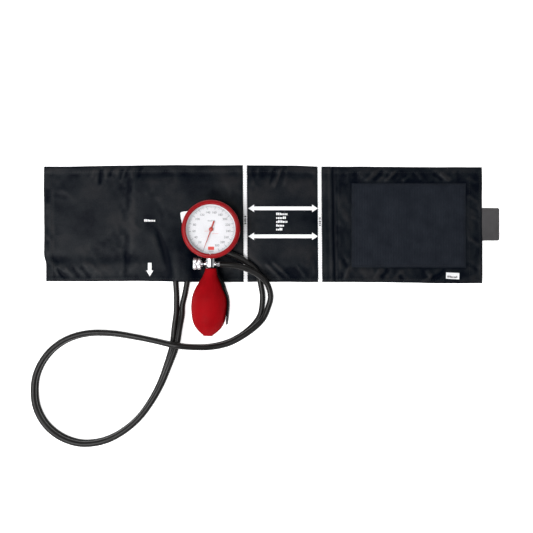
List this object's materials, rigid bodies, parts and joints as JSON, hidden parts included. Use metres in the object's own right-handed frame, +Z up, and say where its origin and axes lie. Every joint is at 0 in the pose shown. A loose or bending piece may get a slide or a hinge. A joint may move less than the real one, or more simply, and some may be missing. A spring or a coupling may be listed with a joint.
{
  "type": "upper arm blood pressure monitor",
  "caption": "Aneroid upper arm blood pressure monitor: flat-laid dark cuff with index tapes and hook closure, red palm gauge with chrome valve, red squeeze bulb and rubber hoses.",
  "frame": {"origin": "on the table, under the middle of the box around the cuff and handset without the hoses", "axes": "+X along the cuff towards the closure end, +Y from the bulb towards the dial, +Z up from the table"},
  "size_m": [0.5802, 0.3462, 0.0427],
  "materials": {
    "nylon_dark": "matt coated woven nylon",
    "loop_fabric": "brushed loop pile",
    "hook_tape": "woven hook tape",
    "tape_white": "printed woven tape",
    "label_white": "satin label",
    "tab_grey": "coated fabric tab",
    "bladder_rubber": "matt",
    "case_black": "fine texture",
    "bezel_red": "gloss",
    "dial_white": "satin white",
    "pointer_red": "satin",
    "lens_clear": "clear",
    "chrome": "polished",
    "brass": "machined",
    "steel": "machined",
    "bulb_red": "smooth satin",
    "hose_black": "satin",
    "spoon_black": "satin"
  },
  "bodies": {
    "root": {"outer_panel": "nylon_dark", "loop_field": "loop_fabric", "bladder": "bladder_rubber", "inner_panel": "nylon_dark", "port_gauge": "hose_black", "port_pump": "hose_black", "index_tape_a": "tape_white", "index_tape_b": "tape_white", "size_label": "label_white", "case_cup": "case_black", "case_back": "case_black", "capsule_post": "brass", "capsule": "brass", "pillar_1": "brass", "pillar_2": "brass", "pillar_3": "brass", "lower_plate": "brass", "bridge_post_1": "brass", "bridge_post_2": "brass", "bridge_post_3": "brass", "upper_plate": "brass", "hairspring": "steel", "dial_post_1": "brass", "dial_post_2": "brass", "dial_post_3": "brass", "dial_plate": "dial_white", "lens_gasket": "hose_black", "lens": "lens_clear", "bezel_ring": "bezel_red", "gauge_connector": "chrome", "neck_block": "chrome", "pump_nipple": "chrome", "valve_bush": "chrome", "outlet_seat": "steel", "outlet_guide": "steel", "end_valve": "chrome", "end_valve_cap": "chrome", "hose_pump": "hose_black", "hose_gauge": "hose_black"},
    "closure": {"closure_outer_panel": "nylon_dark", "closure_inner_panel": "nylon_dark", "hook_patch": "hook_tape", "pull_tab": "tab_grey", "lot_label": "label_white"},
    "capsule_stud": {"capsule_stud": "steel"},
    "rocker": {"rocker": "steel"},
    "sector": {"sector_gear": "brass"},
    "pointer": {"pointer": "pointer_red", "pointer_arbor": "steel"},
    "valve_needle": {"valve_needle": "steel"},
    "valve_wheel": {"valve_wheel": "chrome"},
    "spoon": {"spoon": "spoon_black"},
    "bulb": {"bulb": "bulb_red"},
    "intake_ball": {"intake_ball": "steel"},
    "outlet_disc": {"outlet_disc": "hose_black"}
  },
  "joints": [
    {"name": "closure_fold", "type": "hinge", "parent": "root", "child": "closure", "pos_m": [0.07725, 0.0335, 0.0038], "axis": [0, -1, 0], "range_deg": [0, 150]},
    {"name": "spoon_swivel", "type": "hinge", "parent": "root", "child": "spoon", "pos_m": [-0.07538, -0.02068, 0.0215], "axis": [-0.0297, -0.9996, 0], "range_deg": [0, 180]},
    {"name": "valve_travel", "type": "slide", "parent": "root", "child": "valve_needle", "axis": [-0.9996, 0.0297, 0], "range_m": [0, 0.00121]},
    {"name": "valve_turn", "type": "hinge", "parent": "valve_needle", "child": "valve_wheel", "pos_m": [-0.09124, -0.01581, 0.0215], "axis": [-0.9996, 0.0297, 0], "range_deg": [0, 540]},
    {"name": "sector_turn", "type": "hinge", "parent": "root", "child": "sector", "pos_m": [-0.07336, 0.04729, 0.0195], "axis": [0, 0, 1], "range_deg": [0, 40]},
    {"name": "pointer_turn", "type": "hinge", "parent": "root", "child": "pointer", "pos_m": [-0.074, 0.0257, 0.028], "axis": [0, 0, -1], "range_deg": [0, 320.1]},
    {"name": "rocker_tilt", "type": "hinge", "parent": "root", "child": "rocker", "pos_m": [-0.06212, 0.02135, 0.017], "axis": [0.0297, 0.9996, 0], "range_deg": [0, 11.5]},
    {"name": "capsule_lift", "type": "slide", "parent": "root", "child": "capsule_stud", "axis": [0, 0, 1], "range_m": [0, 0.00121]},
    {"name": "bulb_squeeze", "type": "slide", "parent": "root", "child": "bulb", "axis": [0, 0, -1], "range_m": [0, 0.014], "stiffness_N_per_m": 1500, "springref_m": -0.0005, "deforming": ["bulb"]},
    {"name": "intake_lift", "type": "slide", "parent": "root", "child": "intake_ball", "axis": [0.0297, 0.9996, 0], "range_m": [0, 0.001]},
    {"name": "outlet_lift", "type": "slide", "parent": "root", "child": "outlet_disc", "axis": [-0.0297, -0.9996, 0], "range_m": [0, 0.0015]}
  ],
  "couplings": [
    {"joint": "valve_travel", "follows": "valve_turn", "m_per_rad": 0.00012732},
    {"joint": "pointer_turn", "follows": "sector_turn", "ratio": 8},
    {"joint": "rocker_tilt", "follows": "sector_turn", "ratio": 0.2865},
    {"joint": "capsule_lift", "follows": "sector_turn", "m_per_rad": 0.0017189}
  ]
}
